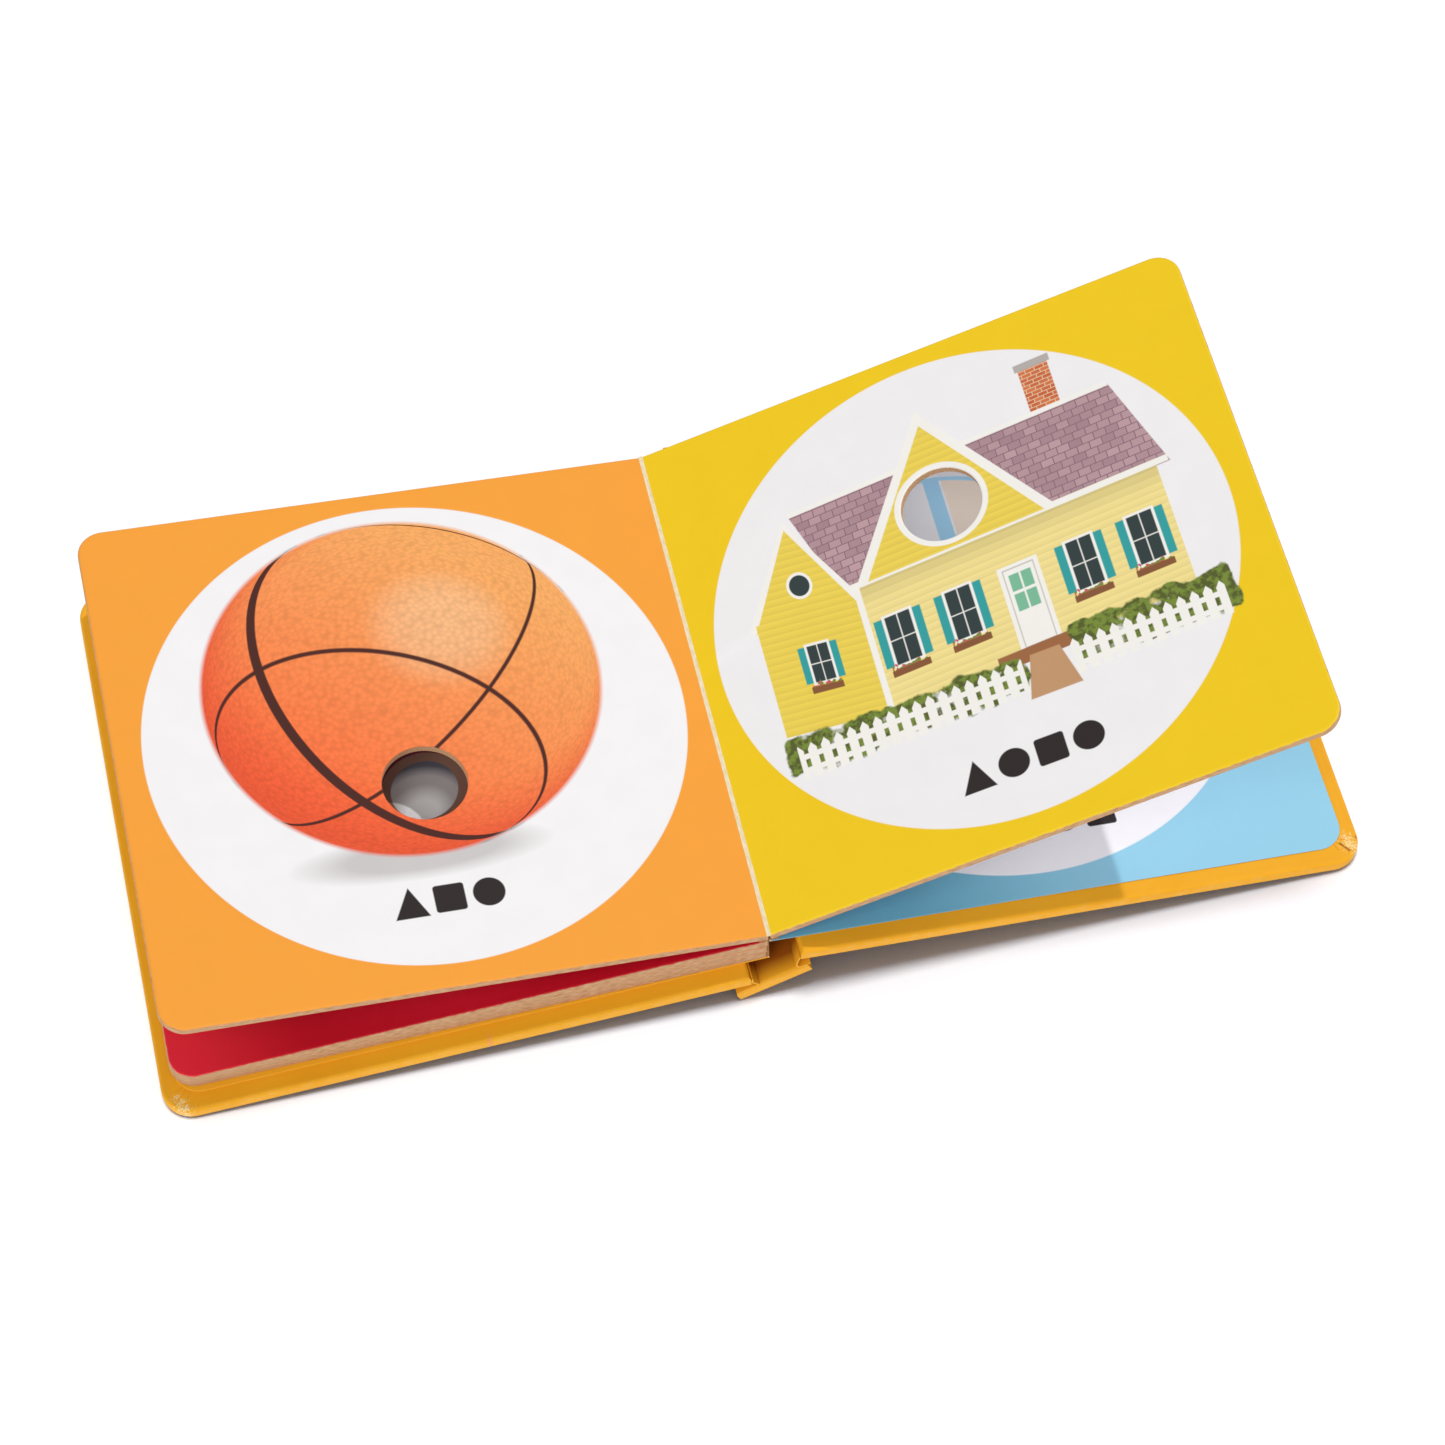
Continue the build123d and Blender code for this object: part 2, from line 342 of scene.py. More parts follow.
def ballPage(tree, place):
    colour = circleOnPage(tree, place, ink(ball["pageInk"]))
    far = discFar(tree, place, ball["floorAt"], (1, ball["floorFlat"]))
    colour = printShape(tree, colour, ink(ball["floorInk"]), far, ball["floorReach"], ball["floorBlur"])
    radius = ball["radius"]
    flat = vectorMaths(tree, "SUBTRACT", place, (*ball["centre"], 1))
    disc = shade(tree, flat, 1 / radius)
    square = vectorMaths(tree, "DOT_PRODUCT", disc, disc)
    rise = maths(tree, "SUBTRACT", 1.0, square, use_clamp=True)
    rise = maths(tree, "POWER", rise, 0.5)
    rise = addNode(tree, "CombineXYZ", {"Z": rise})
    facing = vectorMaths(tree, "ADD", disc, rise)
    glowX, glowY = ball["glowAt"]
    lit = vectorMaths(tree, "DOT_PRODUCT", facing, (glowX, glowY, (1 - glowX ** 2 - glowY ** 2) ** 0.5))
    warm = vectorMaths(tree, "DOT_PRODUCT", facing, ball["warmWay"])
    warm = betweenEnds(tree, warm, ball["warmEnds"])
    skin = blend(tree, warm, ink(ball["deepInk"]), ink(ball["lightInk"]))
    skin = blend(tree, betweenEnds(tree, lit, ball["shadeEnds"]), ink(ball["shadeInk"]), skin)
    glow = betweenEnds(tree, lit, ball["glowEnds"], interpolation_type="SMOOTHSTEP")
    glow = maths(tree, "MULTIPLY", glow, ball["glowShare"])
    skin = blend(tree, glow, skin, ink(ball["glowInk"]))
    pebble = addNode(tree, "TexVoronoi", {"Vector": facing, "Scale": radius / ball["pebble"]})
    share = ball["pebbleShare"]
    pebble = betweenEnds(tree, pebble, (0.0, ball["pebbleReach"]), (1 + share / 2, 1 - share))
    skin = shade(tree, skin, pebble)
    across, up, out = Euler([radians(turn) for turn in ball["turn"]]).to_matrix().col
    seams = ((across, 0, "bandWidth"), (up, 0, "seamWidth"), (out, ball["sideSeam"], "seamWidth"))
    for axis, offset, width in seams:
        part = vectorMaths(tree, "DOT_PRODUCT", facing, axis * radius)
        part = maths(tree, "ABSOLUTE", part)
        part = maths(tree, "SUBTRACT", part, offset * radius)
        part = maths(tree, "ABSOLUTE", part)
        skin = printShape(tree, skin, ink(ball["seamInk"]), part, ball[width] / 2, ball["seamEdge"])
    far = vectorMaths(tree, "LENGTH", flat)
    colour = printShape(tree, colour, skin, far, radius, ball["edge"])
    return captionMarks(tree, place, colour, ball["captionAt"], ("disc", "square", "triangle"))


# A cottage: long front wall with a central gable around the peep hole, a side wall in perspective, a
# shingled roof with a chimney, and a fence and hedge before it
cottage = {
    "pageInk": "#f7cf22", "wallInk": "#fbe798", "gableInk": "#f5d95a", "trimInk": "#fbf8f2",
    "shingleInks": ("#c3a0a6", "#a98790"), "shingleGap": "#8d6d78",
    "shingle": (3.4, 2.3), "shingleJoint": 0.14,
    "brickInks": ("#dc7f50", "#c9663f"), "brickGap": "#eac9a6", "brick": (2.6, 1.2), "brickJoint": 0.12,
    "chimney": ((58.0, 60.0), (66.0, 82.0)), "chimneyCap": ((57.2, 82.0), (66.8, 84.0)), "capInk": "#b9b2ae",
    "clapboard": 2.2, "clapboardLevels": (0.89, 1.02),
    "frontOrigin": (46.0, 49.0), "frontAcross": (1.0, 0.035), "frontUp": (0.0, 1.0),
    "frontSize": (84.0, 40.0), "bay": 16.8, "frontWindow": (3.3, 12.0, 26.5),
    "ridge": 68.0, "ridgeBoard": (67.2, 68.4), "ridgeEnds": (-12.0, -5.0),
    "roofEaves": (-3.0, 4.0), "roofFoot": 2.0, "cornerBoard": (-0.5, 0.9, 1.0),
    "eaveBoard": (-1.0, 3.4, 1.6), "eaveShadow": (8.0, 2.0), "eaveLevel": 0.78,
    "sideOrigin": (46.0, 49.0), "sideAcross": (-0.82, 0.10), "sideUp": (0.0, 1.0),
    "sideSize": (34.0, 37.0), "sidePeak": 62.0, "sideWindow": (3.2, 14.0, 25.0), "sideTrim": (3.0, 4.0, 2.6),
    "sideEdge": (0.6, 4.4), "sideFoot": 2.0, "roundWindowAt": 44.0, "roundWindow": 4.2, "roundPane": 3.3,
    "doorBay": 8.2, "doorTrim": ((0.0, 2.0), (5.4, 27.0)), "doorGap": ((0.0, 2.0), (4.2, 26.0)),
    "doorGapInk": "#c9c3bb", "door": ((0.0, 2.4), (3.9, 25.6)), "doorInk": "#fbf8f2",
    "doorPanes": (((0.4, 13.0), (2.9, 18.0)), ((0.4, 19.2), (2.9, 24.0))), "doorPaneInk": "#7fbf9d",
    "gableShift": 13.5, "gableFoot": 1.0, "gableTrim": (28.0, 43.0), "gableWall": (24.8, 38.4),
    "holeTrim": 1.7, "deck": ((30.0, -2.0), (54.0, 2.0)), "deckInk": "#a06a45",
    "path": [(81.0, 37.5), (95.0, 37.5), (92.0, 50.0), (84.0, 50.0)], "pathInk": "#c79a70",
    "hedges": (((18.0, 41.5), (80.0, 49.5)), ((97.0, 43.5), (138.0, 53.5))),
    "hedgeWave": 7.0, "hedgeReach": 1.0, "hedgeBlur": 0.7,
    "leafInks": ("#7a8e3c", "#575f2e"), "leaf": 1.6, "leafShare": 0.5, "leafBlur": 0.16,
    "fenceOrigin": (20.0, 38.5), "fenceAcross": (1.0, 0.02), "fence": ((0.0, 0.0), (116.0, 10.0)),
    "picket": [(-1.1, 0.0), (1.1, 0.0), (1.1, 8.4), (0.0, 10.0), (-1.1, 8.4)], "picketStep": 3.6,
    "rails": (((0.0, 2.0), (116.0, 3.1)), ((0.0, 6.0), (116.0, 7.1))), "gate": ((82.5, 36.0), (93.5, 60.0)),
    "fenceReach": 0.1, "fenceBlur": 0.25, "captionAt": (77.0, 22.2),
}

# A window: trim around two panes, with shutters beside it and a flower box under it
window = {
    "trim": 0.75, "shutter": 2.3, "bar": 0.3, "shutterInk": "#38a3a3", "paneInk": "#333f40",
    "boxInk": "#8a5a3a", "box": (1.8, 3.2, 1.5), "flowerInk": "#e2506a", "flowers": (1.6, 2.4, 3.0),
    "flowerWave": 1.3, "flowerRise": 5.0, "petal": 0.9, "petalShare": 0.47, "petalBlur": 0.05,
}
waveLength = 0.3142  # a wave pattern of scale 1 repeats at this length


# Sawtooth across the boards' height, darker under each lower edge
def clapboards(tree, place, colour):
    saw = addNode(tree, "TexWave", {"Vector": place, "Scale": waveLength / cottage["clapboard"]}, out=1,
                  bands_direction="Y", wave_profile="SAW")
    return shade(tree, ink(colour)[:3], betweenEnds(tree, saw, (0.0, 1.0), cottage["clapboardLevels"]))


def bricks(tree, place, inks, gap, size, mortar):
    return addNode(tree, "TexBrick", {"Vector": place, "Color1": ink(inks[0]), "Color2": ink(inks[1]),
                                      "Mortar": ink(gap), "Scale": 1.0, "Mortar Size": mortar,
                                      "Brick Width": size[0], "Row Height": size[1]})


def windowPicture(tree, colour, place, half, low, high):
    sides = mirrorAcross(tree, place, 0)
    trim, bar = window["trim"], window["bar"]
    shutter = ((half + trim, low), (half + trim + window["shutter"], high))
    colour = printBox(tree, colour, ink(window["shutterInk"]), sides, shutter)
    around = ((0, low - trim), (half + trim, high + trim))
    colour = printBox(tree, colour, ink(cottage["trimInk"]), sides, around)
    middle = (low + high) / 2
    for bottom, top in ((low, middle - bar), (middle + bar, high)):
        colour = printBox(tree, colour, ink(window["paneInk"]), sides, ((bar, bottom), (half, top)))
    boxOut, boxFoot, boxTop = window["box"]
    flowersOut, flowersFoot, flowersTop = window["flowers"]
    bloom = noiseAt(tree, place, window["flowerWave"], 1.0)
    edge = maths(tree, "MULTIPLY_ADD", bloom, window["flowerRise"], low - boxFoot)
    lift = addNode(tree, "SeparateXYZ", {0: place}, out=1)
    over = maths(tree, "SUBTRACT", lift, edge)
    bunch = boxFar(tree, sides, (0, low - flowersFoot), (half + flowersOut, low + flowersTop))
    bunch = maths(tree, "MAXIMUM", bunch, over)
    petals = printShape(tree, ink(cottage["leafInks"][0]), ink(window["flowerInk"]),
                        noiseAt(tree, place, window["petal"], 1.0), window["petalShare"], window["petalBlur"])
    colour = printShape(tree, colour, petals, bunch)
    return printBox(tree, colour, ink(window["boxInk"]), sides,
                    ((0, low - boxFoot), (half + boxOut, low - boxTop)))


def cottagePage(tree, place):
    colour = circleOnPage(tree, place, ink(cottage["pageInk"]))
    white = ink(cottage["trimInk"])
    across, up = cottage["frontAcross"], cottage["frontUp"]
    wide, high = cottage["frontSize"]
    front = slantPlace(tree, place, cottage["frontOrigin"], across, up)

    # chimney, behind the ridge
    stack = bricks(tree, front, cottage["brickInks"], cottage["brickGap"], cottage["brick"],
                   cottage["brickJoint"])
    colour = printBox(tree, colour, stack, front, cottage["chimney"])
    colour = printBox(tree, colour, ink(cottage["capInk"]), front, cottage["chimneyCap"])

    # long roof, with its ridge board
    roof = bricks(tree, front, cottage["shingleInks"], cottage["shingleGap"], cottage["shingle"],
                  cottage["shingleJoint"])
    (ridgeLeft, ridgeRight), (eaveLeft, eaveRight) = cottage["ridgeEnds"], cottage["roofEaves"]
    foot, top = high - cottage["roofFoot"], cottage["ridge"]
    far = outlineFar(tree, front, [(eaveLeft, foot), (wide + eaveRight, foot), (wide + ridgeRight, top),
                                   (ridgeLeft, top)])
    colour = printShape(tree, colour, roof, far)
    boardLow, boardTop = cottage["ridgeBoard"]
    colour = printBox(tree, colour, white, front, ((ridgeLeft, boardLow), (wide + ridgeRight, boardTop)))

    # side wall with its gable, drawn in perspective
    side = slantPlace(tree, place, cottage["sideOrigin"], cottage["sideAcross"], cottage["sideUp"])
    deep, eave = cottage["sideSize"]
    middle, peak = deep / 2, cottage["sidePeak"]
    sideWall = clapboards(tree, side, cottage["gableInk"])
    centred = vectorMaths(tree, "SUBTRACT", side, (middle, 0, 0))
    sideWall = windowPicture(tree, sideWall, centred, *cottage["sideWindow"])
    far = discFar(tree, side, (middle, cottage["roundWindowAt"]))
    sideWall = printShape(tree, sideWall, white, far, cottage["roundWindow"])
    sideWall = printShape(tree, sideWall, ink(window["paneInk"]), far, cottage["roundPane"])
    out, drop, rise = cottage["sideTrim"]
    eaves = [(deep + out, eave - drop), (middle, peak + rise), (-out, eave - drop)]
    colour = printShape(tree, colour, white, outlineFar(tree, side, eaves))
    out, drop = cottage["sideEdge"]
    far = outlineFar(tree, side, [(deep + out, eave - drop), (middle, peak), (-out, eave - drop)])
    low = boxFar(tree, side, (0, 0), (deep, eave - cottage["sideFoot"]))
    far = maths(tree, "MINIMUM", far, low)
    colour = printShape(tree, colour, sideWall, far)

    # front wall with windows in four bays, and a door in the middle one
    boards = clapboards(tree, front, cottage["wallInk"])
    bays = vectorMaths(tree, "SUBTRACT", front, (cottage["bay"] / 2, 0, 0))
    wall = windowPicture(tree, boards, repeatAcross(tree, bays, cottage["bay"]), *cottage["frontWindow"])
    doorAt = mirrorAcross(tree, front, wide / 2)
    wall = printBox(tree, wall, boards, doorAt, ((0, 0), (cottage["doorBay"], high)))
    wall = printBox(tree, wall, white, doorAt, cottage["doorTrim"])
    wall = printBox(tree, wall, ink(cottage["doorGapInk"]), doorAt, cottage["doorGap"])
    wall = printBox(tree, wall, ink(cottage["doorInk"]), doorAt, cottage["door"])
    for pane in cottage["doorPanes"]:
        wall = printBox(tree, wall, ink(cottage["doorPaneInk"]), doorAt, pane)
    height = addNode(tree, "SeparateXYZ", {0: front}, out=1)
    ends = [high - down for down in cottage["eaveShadow"]]
    wall = shade(tree, wall, betweenEnds(tree, height, ends, (1.0, cottage["eaveLevel"])))
    colour = printBox(tree, colour, wall, front, ((0, 0), (wide, high)))
    left, right, depth = cottage["eaveBoard"]
    colour = printBox(tree, colour, white, front, ((left, high - depth), (wide + right, high)))
    left, right, short = cottage["cornerBoard"]
    colour = printBox(tree, colour, white, front, ((left, 0), (right, high - short)))

    # central gable around the peep hole
    middle = wide / 2 - cottage["gableShift"]
    foot = high - cottage["gableFoot"]
    crossWall = clapboards(tree, front, cottage["gableInk"])
    for over, (half, rise) in ((white, cottage["gableTrim"]), (crossWall, cottage["gableWall"])):
        gable = [(middle - half, foot), (middle + half, foot), (middle, high + rise)]
        colour = printShape(tree, colour, over, outlineFar(tree, front, gable))
    colour = printShape(tree, colour, white, discFar(tree, place, rightHole),
                        book["holeRadius"] + cottage["holeTrim"])

    # deck, path, hedge and fence
    colour = printBox(tree, colour, ink(cottage["deckInk"]), front, cottage["deck"])
    colour = printShape(tree, colour, ink(cottage["pathInk"]), outlineFar(tree, place, cottage["path"]))
    leaves = noiseAt(tree, place, cottage["leaf"], 3.0)
    bush = printShape(tree, *[ink(name) for name in cottage["leafInks"]], leaves, cottage["leafShare"],
                      cottage["leafBlur"])
    wave = cottage["hedgeWave"]
    ragged = maths(tree, "MULTIPLY_ADD", noiseAt(tree, place, wave, 3.0), -wave, wave / 2)
    for hedge in cottage["hedges"]:
        far = maths(tree, "ADD", boxFar(tree, place, *hedge), ragged)
        colour = printShape(tree, colour, bush, far, cottage["hedgeReach"], cottage["hedgeBlur"])
    fence = slantPlace(tree, place, cottage["fenceOrigin"], cottage["fenceAcross"], cottage["frontUp"])
    posts = outlineFar(tree, repeatAcross(tree, fence, cottage["picketStep"]), cottage["picket"])
    posts = maths(tree, "MAXIMUM", posts, boxFar(tree, fence, *cottage["fence"]))
    lowRail, topRail = [boxFar(tree, fence, *rail) for rail in cottage["rails"]]
    rails = maths(tree, "MINIMUM", lowRail, topRail)
    rails = maths(tree, "MINIMUM", rails, posts)
    gate = maths(tree, "SUBTRACT", 1.0, boxFar(tree, place, *cottage["gate"]))
    rails = maths(tree, "MAXIMUM", rails, gate)
    colour = printShape(tree, colour, white, rails, cottage["fenceReach"], cottage["fenceBlur"])
    return captionMarks(tree, place, colour, cottage["captionAt"], ("triangle", "disc", "square", "disc"))


# What shows through the peep holes: a grey dome on the red page, and a striped disc on the blue one
peep = {
    "redInk": "#cc0a26", "redLitInk": "#f4263c", "redLightFade": (112.0, 150.0), "redCircleLift": 1.8,
    "groundInk": "#6d2433", "groundWide": (0.6, 1.0), "groundReach": 16.0,
    "ringInk": "#8a6454", "ringWidth": 2.6,
    "domeAt": (75.9, 66.4), "domeReach": 8.8, "domeGlowAt": (77.6, 59.5),
    "domeInks": ("#ffffff", "#b9b1b1", "#5c5a62"), "domeFade": (6.5, 13.0), "domeBlur": (5.0, 3.0),
    "blueInk": "#98d2e8", "blueShadeInk": "#6eb5cb", "blueShadeFade": (105.0, 30.0), "diskWhite": "#ffffff",
    "stripesAt": (76.4, 92.0), "stripesReach": 40.0, "stripesLine": 1.2,
    "stripeInk": "#b0e4ff", "stripeHalf": 2.1,
    "peachInk": "#ffeeda", "peachFrom": 3.0, "captionAt": (72.9, 21.6),
}


# Painted shade and light: two inks run into each other between two reaches from the crease
def paintedShadeByReach(tree, place, near, far, reaches):
    across = addNode(tree, "SeparateXYZ", {0: place})
    share = betweenEnds(tree, across, reaches, interpolation_type="SMOOTHSTEP")
    return blend(tree, share, ink(near), ink(far))


def domePage(tree, place):
    # Painted light: the red turns lighter towards the page's far end
    red = paintedShadeByReach(tree, place, peep["redInk"], peep["redLitInk"], peep["redLightFade"])
    colour = circleOnPage(tree, place, red, peep["redCircleLift"])
    far = discFar(tree, place, peep["domeAt"], peep["groundWide"])
    colour = printShape(tree, colour, ink(peep["groundInk"]), far, peep["groundReach"])
    far = discFar(tree, place, peep["domeAt"])
    colour = printShape(tree, colour, ink(peep["ringInk"]), far, peep["domeReach"] + peep["ringWidth"])
    glow = discFar(tree, place, peep["domeGlowAt"])
    bright, middle, dark = [ink(name) for name in peep["domeInks"]]
    (brightReach, darkReach), (brightBlur, darkBlur) = peep["domeFade"], peep["domeBlur"]
    dome = printShape(tree, middle, bright, glow, brightReach, brightBlur)
    dome = printShape(tree, dark, dome, glow, darkReach, darkBlur)
    return printShape(tree, colour, dome, far, peep["domeReach"])


def stripesPage(tree, place):
    # Painted shade: the blue turns darker near the crease, under the lifted leaf
    blue = paintedShadeByReach(tree, place, peep["blueInk"], peep["blueShadeInk"], peep["blueShadeFade"])
    colour = circleOnPage(tree, place, blue)
    middle, height = peep["stripesAt"][0], 2 * pageHalf
    line = ink(peep["stripeInk"])
    far = discFar(tree, place, peep["stripesAt"])
    colour = printShape(tree, colour, line, far, peep["stripesReach"] + peep["stripesLine"])
    peach = ((middle + peep["peachFrom"], 0), (middle + book["pageWidth"], height))
    disc = printBox(tree, ink(peep["diskWhite"]), ink(peep["peachInk"]), place, peach)
    half = peep["stripeHalf"]
    disc = printBox(tree, disc, line, place, ((middle - half, 0), (middle + half, height)))
    colour = printShape(tree, colour, disc, far, peep["stripesReach"])
    marks = ("square", "disc", "triangle", "disc", "square")
    return captionMarks(tree, place, colour, peep["captionAt"], marks)


def plainPage(pageInk):
    return lambda tree, place: circleOnPage(tree, place, ink(pageInk))


# Leaf: clay-coated print under a thin film, on pressed grey-brown board. The film is smooth, with a faint
# orange peel and slight unevenness of the ink; on the rounded rims it is worn off, and the board's own
# fibres show as short streaks along the cut
leafFinish = {
    "filmRoughness": 0.45, "boardRoughness": 0.9, "specular": 0.15, "mottle": 9.0, "mottleShare": 0.012,
    "peel": 0.5, "peelHeight": 0.003, "boardInks": ("#b8875e", "#dcb48c"), "ply": 0.35, "plyRun": 2.4,
    "plyEnds": (0.32, 0.68), "printEnd": 0.3, "underEnd": 0.12, "printFade": 0.5, "fadeShare": 1.1,
    "wornSize": 2.2, "wornShare": 0.45, "creaseInk": "#f8dfa2", "creaseWidth": 0.57, "creaseFade": 0.25,
    "creaseRagged": 0.3,
}
noiseEnds = (0.3, 0.7)  # where most of a noise pattern lies


def leafMaterial(name, topPage, underPage, thickness, printEnd=leafFinish["printEnd"]):
    underEnd = min(printEnd, leafFinish["underEnd"])
    fadeShare = leafFinish["fadeShare"]
    material, tree = newMaterial(name)
    place = pagePlace(tree)
    rim = addNode(tree, "UVMap", {}, uv_map="rim")
    depth = addNode(tree, "SeparateXYZ", {0: rim}, out=1)
    ragged = noiseAt(tree, rim, leafFinish["wornSize"], 3.0)
    share = leafFinish["wornShare"]
    wear = betweenEnds(tree, ragged, noiseEnds, (1 - share, 1 + share))
    worn = maths(tree, "MULTIPLY", depth, wear)
    plies = noiseAt(tree, rim, leafFinish["ply"], 4.0, (leafFinish["ply"] / leafFinish["plyRun"], 1, 1))
    plies = betweenEnds(tree, plies, leafFinish["plyEnds"])
    board = blend(tree, plies, *[ink(name) for name in leafFinish["boardInks"]])
    topShare = within(tree, worn, printEnd, min(leafFinish["printFade"], fadeShare * printEnd))
    under = maths(tree, "SUBTRACT", thickness, depth)
    under = maths(tree, "MULTIPLY", under, wear)
    underShare = within(tree, under, underEnd, fadeShare * underEnd)
    share = leafFinish["mottleShare"]
    mottle = noiseAt(tree, place, leafFinish["mottle"], 4.0)
    level = betweenEnds(tree, mottle, noiseEnds, (1 - share, 1 + share))
    topColour = shade(tree, topPage(tree, place), level)
    reach = addNode(tree, "SeparateXYZ", {0: place})
    fold = maths(tree, "MULTIPLY_ADD", ragged, leafFinish["creaseRagged"], reach)
    topColour = printShape(tree, topColour, ink(leafFinish["creaseInk"]), fold, leafFinish["creaseWidth"],
                           leafFinish["creaseFade"])
    colour = blend(tree, topShare, board, topColour)
    colour = blend(tree, underShare, colour, shade(tree, underPage(tree, place), level))
    film = maths(tree, "MAXIMUM", topShare, underShare)
    rough = betweenEnds(tree, film, (0.0, 1.0), (leafFinish["boardRoughness"], leafFinish["filmRoughness"]))
    relief = addNode(tree, "Mix", {0: film, 2: plies, 3: noiseAt(tree, place, leafFinish["peel"])},
                     data_type="FLOAT")
    return finished(material, colour, relief, leafFinish["peelHeight"], rough, leafFinish["specular"])


# Golden cover paper: uncoated-feeling printed paper under a matt film, wrapped over greyboard. It is even,
# with faint clouds of ink, rubbed pale where it folds over the rims, and scuffed at the fore corners
wrapFinish = {
    "ink": "#f6b025", "cloudInk": "#f3aa1f", "cloud": 14.0, "cloudEnds": (0.35, 0.7), "hollowShadeInk": "#9a4e08",
    "hollowShadeEnds": (5.5, 1.0), "hollowShadeLevels": (1.0, 0.12), "inwardEnds": (0.1, 0.5),
    "wornInk": "#fbd88c", "scuffInk": "#fbdda4", "crackInk": "#a9651f", "markInk": "#f59a6e",
    "rubbed": 3.0, "rubbedRise": 2.2, "rubbedFrom": 1.0, "rubbedEnds": (-0.2, 0.6), "rubbedShare": 0.15,
    "scuff": 0.5, "scuffRise": 5.0, "scuffDrop": 2.4, "scuffBlur": 0.5,
    "crack": [(151.4, 1.0), (153.3, -1.7), (153.7, -1.4), (151.7, 1.3)],
    "crackRagged": 0.25, "crackReach": 0.05, "crackBlur": 0.4,
    "grain": 0.8, "grainHeight": 0.006, "roughness": 0.55, "grainRoughness": 0.06, "specular": 0.15,
}
# Marks on the tail margin. Each has its place from the crease and above the tail edge of the pages, the
# scale of each way, its reach and its ink
wrapMarks = (
    ((153.9, 0.8), (0.5, 0.35), 0.75, "wornInk"), ((-152.4, -2.0), (0.5, 0.35), 0.5, "wornInk"),
    ((153.4, 2.4), (0.8, 0.8), 0.4, "scuffInk"), ((155.1, -1.0), (0.9, 0.6), 0.5, "scuffInk"),
    ((156.4, 2.1), (1.0, 1.0), 0.1, "crackInk"), ((-153.3, 0.0), (0.6, 0.8), 0.3, "scuffInk"),
    ((-151.5, -3.6), (0.5, 0.7), 0.5, "scuffInk"), ((-73.5, -4.5), (1.8, 0.35), 0.5, "markInk"),
)


# Share of the painted shade: on faces that look into the spine's hollow, less near its ends
def hollowShadeShare(tree, place, height):
    ends = [coverHalf - end for end in wrapFinish["hollowShadeEnds"]]
    inside = betweenEnds(tree, height, ends, wrapFinish["hollowShadeLevels"])
    outward = maths(tree, "SIGN", addNode(tree, "SeparateXYZ", {0: place}))
    inward = maths(tree, "MULTIPLY", outward, -1.0)
    inward = addNode(tree, "CombineXYZ", {"X": inward, "Z": 1.0})
    inward = vectorMaths(tree, "DOT_PRODUCT", addNode(tree, "TexCoord", {}, "Normal"), inward)
    inward = betweenEnds(tree, inward, wrapFinish["inwardEnds"])
    return maths(tree, "MULTIPLY", inside, inward)


def coverMaterial(name, hollow=False):
    material, tree = newMaterial(name)
    place = objectPlace(tree)
    clouds = betweenEnds(tree, noiseAt(tree, place, wrapFinish["cloud"], 4.0), wrapFinish["cloudEnds"])
    colour = blend(tree, clouds, ink(wrapFinish["ink"]), ink(wrapFinish["cloudInk"]))
    sides = vectorMaths(tree, "ABSOLUTE", place)
    height = addNode(tree, "SeparateXYZ", {0: sides}, out=1)
    rim = maths(tree, "MULTIPLY_ADD", noiseAt(tree, place, wrapFinish["rubbed"], 4.0),
                wrapFinish["rubbedRise"], -coverHalf - wrapFinish["rubbedFrom"])
    rim = maths(tree, "ADD", height, rim)
    rim = betweenEnds(tree, rim, wrapFinish["rubbedEnds"], (0.0, wrapFinish["rubbedShare"]))
    colour = blend(tree, rim, colour, ink(wrapFinish["wornInk"]))
    tail = vectorMaths(tree, "ADD", place, (0, pageHalf, 0))
    tail = vectorMaths(tree, "MULTIPLY", tail, (1, 1, 0))
    tail = vectorMaths(tree, "ADD", tail, (0, 0, 1))
    ragged = maths(tree, "MULTIPLY_ADD", noiseAt(tree, place, wrapFinish["scuff"], 5.0),
                   wrapFinish["scuffRise"], -wrapFinish["scuffDrop"])
    for centre, scale, reach, inkName in wrapMarks:
        far = maths(tree, "ADD", discFar(tree, tail, centre, scale), ragged)
        colour = printShape(tree, colour, ink(wrapFinish[inkName]), far, reach, wrapFinish["scuffBlur"])
    crack = outlineFar(tree, tail, wrapFinish["crack"])
    crack = maths(tree, "MULTIPLY_ADD", ragged, wrapFinish["crackRagged"], crack)
    colour = printShape(tree, colour, ink(wrapFinish["crackInk"]), crack, wrapFinish["crackReach"],
                        wrapFinish["crackBlur"])
    # Painted shade: the paper is painted darker deep in the spine's hollow
    if hollow:
        colour = blend(tree, hollowShadeShare(tree, place, height), colour, ink(wrapFinish["hollowShadeInk"]))
    grain = noiseAt(tree, place, wrapFinish["grain"], 3.0)
    even, more = wrapFinish["roughness"], wrapFinish["grainRoughness"]
    rough = betweenEnds(tree, grain, (0.0, 1.0), (even - more, even + more))
    return finished(material, colour, grain, wrapFinish["grainHeight"], rough, wrapFinish["specular"])


# Fibre stock, such as greyboard, glue-stained gutter board and the paper of the fold: rolled pulp with short
# darker fibres and a dull, slightly rough face. Each has its two inks, its fibres' size and its roughness
fibreStock = {
    "greyboard": ("greyboardPulp", ("#b39d84", "#8c775f"), 0.9, 0.9),
    "gutterBoard": ("gutterGluedBoard", ("#b98a60", "#94663f"), 0.8, 0.85),
    "foldPaper": ("foldedPagePaper", ("#f8ecd0", "#ead4a4"), 0.7, 0.7),
}
fibreFinish = {"stretch": (1, 0.35, 1), "height": 0.02, "specular": 0.15}


def fibreMaterial(name, inks, fibre, roughness):
    material, tree = newMaterial(name)
    pulp = noiseAt(tree, objectPlace(tree), fibre, 5.0, fibreFinish["stretch"])
    colour = blend(tree, betweenEnds(tree, pulp, noiseEnds), *[ink(name) for name in inks])
    return finished(material, colour, pulp, fibreFinish["height"], roughness, fibreFinish["specular"])


